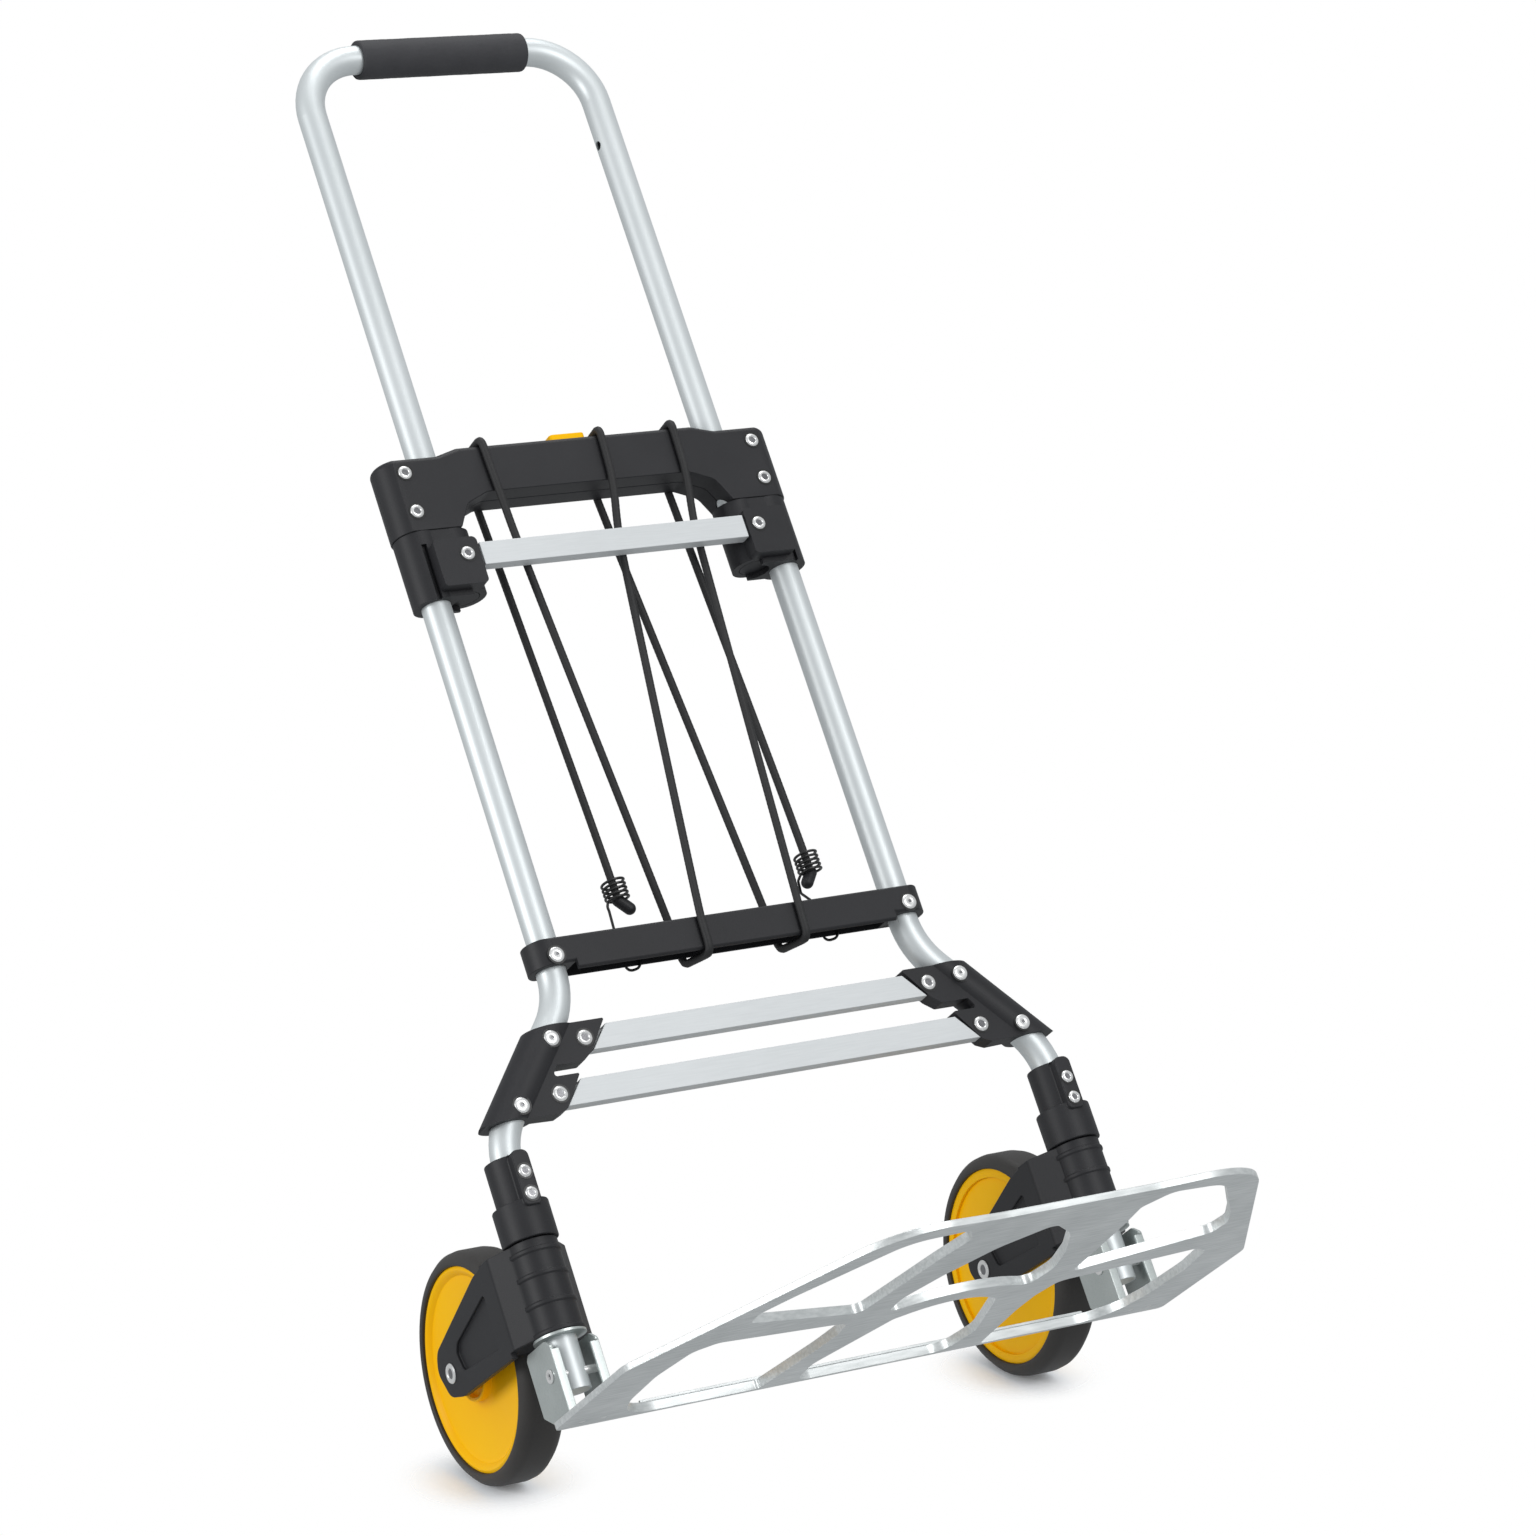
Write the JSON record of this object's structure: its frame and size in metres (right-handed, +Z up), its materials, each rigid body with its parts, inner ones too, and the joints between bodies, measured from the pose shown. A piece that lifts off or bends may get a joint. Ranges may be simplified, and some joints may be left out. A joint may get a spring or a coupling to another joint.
{
  "type": "folding luggage cart",
  "caption": "Folding luggage cart with a pull-up tube handle, elastic cord, fold-up openwork toe plate and wheels that fold in with it.",
  "frame": {"origin": "on the floor under the middle of the standing cart, handle up and toe plate down", "axes": "+Z up along the frame tubes, front of the cart and its toe plate towards -Y, +X to the right of someone facing the back"},
  "size_m": [0.5034, 0.5296, 1.08],
  "materials": {
    "satin_tube": "satin anodised",
    "strip_aluminium": "matte extruded",
    "plate_aluminium": "brushed cast",
    "rivet_steel": "bright",
    "zinc_steel": "zinc plated",
    "yellow_plastic": "semi-gloss moulded",
    "tyre_rubber": "matte rubber",
    "grip_foam": "closed-cell foam",
    "cord_elastic": "woven sheath",
    "hook_wire": "black coated",
    "nylon": "natural nylon",
    "spring_steel": "bright drawn",
    "black_plastic": "fine moulded texture"
  },
  "bodies": {
    "frame": {"bar_rivets": "rivet_steel", "bracket_rivets": "rivet_steel", "button_spring": "spring_steel", "clamp_rivets": "rivet_steel", "column_clamp_left": "black_plastic", "column_clamp_right": "black_plastic", "cord_end_left": "black_plastic", "cord_end_right": "black_plastic", "cord_hook_left": "hook_wire", "cord_hook_right": "hook_wire", "corner_bracket_left": "black_plastic", "corner_bracket_right": "black_plastic", "elastic_cord": "cord_elastic", "guide_block_left": "black_plastic", "guide_block_right": "black_plastic", "guide_rivets": "rivet_steel", "housing_rivets": "rivet_steel", "left_leg_tube": "satin_tube", "leg_end_plug_left": "nylon", "leg_end_plug_right": "nylon", "lower_bar": "black_plastic", "lower_leg_strip": "strip_aluminium", "retaining_washer_left": "zinc_steel", "retaining_washer_right": "zinc_steel", "right_leg_tube": "satin_tube", "swivel_bush_left": "nylon", "swivel_bush_right": "nylon", "upper_cross_strip": "strip_aluminium", "upper_housing_back": "black_plastic", "upper_housing_front": "black_plastic", "upper_leg_strip": "strip_aluminium"},
    "handle": {"handle_tube": "satin_tube", "handle_grip": "grip_foam", "handle_end_plug_left": "black_plastic", "handle_end_plug_right": "black_plastic"},
    "release_button": {"release_button": "yellow_plastic"},
    "latch_left": {"latch_slide_left": "spring_steel"},
    "latch_right": {"latch_slide_right": "spring_steel"},
    "toe_plate": {"toe_plate": "plate_aluminium", "hinge_bracket_left": "zinc_steel", "hinge_bracket_right": "zinc_steel", "hinge_pin_left": "zinc_steel", "hinge_pin_right": "zinc_steel", "plate_rivets": "rivet_steel"},
    "fork_left": {"wheel_fork_left": "black_plastic", "axle_left": "rivet_steel"},
    "wheel_left": {"wheel_rim_left": "yellow_plastic", "wheel_cover_left": "yellow_plastic", "tyre_left": "tyre_rubber", "wheel_bush_left": "nylon"},
    "fork_right": {"wheel_fork_right": "black_plastic", "axle_right": "rivet_steel"},
    "wheel_right": {"wheel_rim_right": "yellow_plastic", "wheel_cover_right": "yellow_plastic", "tyre_right": "tyre_rubber", "wheel_bush_right": "nylon"}
  },
  "joints": [
    {"name": "handle_slide", "type": "slide", "parent": "frame", "child": "handle", "axis": [0, 0, -1], "range_m": [0, 0.27]},
    {"name": "release_press", "type": "slide", "parent": "frame", "child": "release_button", "axis": [0, 0, -1], "range_m": [0, 0.004], "stiffness_N_per_m": 600, "deforming": ["button_spring"]},
    {"name": "latch_left_draw", "type": "slide", "parent": "frame", "child": "latch_left", "axis": [1, 0, 0], "range_m": [0, 0.004]},
    {"name": "latch_right_draw", "type": "slide", "parent": "frame", "child": "latch_right", "axis": [-1, 0, 0], "range_m": [0, 0.004]},
    {"name": "toe_plate_fold", "type": "hinge", "parent": "frame", "child": "toe_plate", "pos_m": [0, 0.0568, 0.036], "axis": [-1, 0, 0], "range_deg": [0, 90]},
    {"name": "fork_left_swivel", "type": "hinge", "parent": "frame", "child": "fork_left", "pos_m": [-0.222, 0.0628, 0.097], "axis": [0, 0, -1], "range_deg": [0, 90]},
    {"name": "fork_right_swivel", "type": "hinge", "parent": "frame", "child": "fork_right", "pos_m": [0.222, 0.0628, 0.097], "axis": [0, 0, 1], "range_deg": [0, 90]},
    {"name": "wheel_left_spin", "type": "hinge", "parent": "fork_left", "child": "wheel_left", "pos_m": [-0.21975, 0.1818, 0.083], "axis": [1, 0, 0], "continuous": true},
    {"name": "wheel_right_spin", "type": "hinge", "parent": "fork_right", "child": "wheel_right", "pos_m": [0.21975, 0.1818, 0.083], "axis": [1, 0, 0], "continuous": true}
  ],
  "couplings": [
    {"joint": "latch_left_draw", "follows": "release_press", "ratio": 1},
    {"joint": "latch_right_draw", "follows": "release_press", "ratio": 1},
    {"joint": "fork_left_swivel", "follows": "toe_plate_fold", "ratio": 1},
    {"joint": "fork_right_swivel", "follows": "toe_plate_fold", "ratio": 1}
  ]
}
